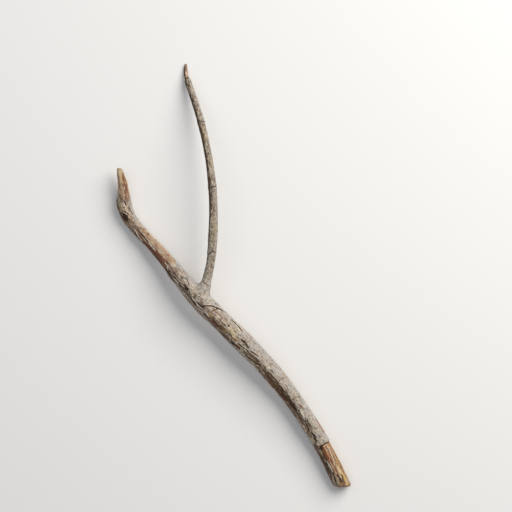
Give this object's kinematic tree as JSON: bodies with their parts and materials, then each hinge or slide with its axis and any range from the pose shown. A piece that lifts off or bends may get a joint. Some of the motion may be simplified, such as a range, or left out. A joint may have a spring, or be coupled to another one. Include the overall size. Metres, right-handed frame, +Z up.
{
  "type": "fallen tree branch",
  "caption": "Weathered fallen branch with flaking bark and bare wood, forking into a knobbed snapped limb and a thin arching side twig; it lies on the ground.",
  "frame": {"origin": "middle of the whole branch's length and width, on the ground it lies on", "axes": "+Y along the branch's overall length, from the cut butt towards the twig's tip; +X towards the butt's side; +Z up, away from the ground"},
  "size_m": [0.2935, 0.5297, 0.0488],
  "materials": {
    "stem_bark": "weathered grey-beige bark, rough, with cracks and dark brown inner bark",
    "limb_wood": "bare tan wood with reddish-brown streaks between worn grey bark",
    "twig_bark": "thin rough grey-brown bark with a bare pinkish tip"
  },
  "bodies": {
    "root": {"main_stem": "stem_bark", "upper_limb": "limb_wood", "side_twig": "twig_bark"}
  },
  "joints": []
}
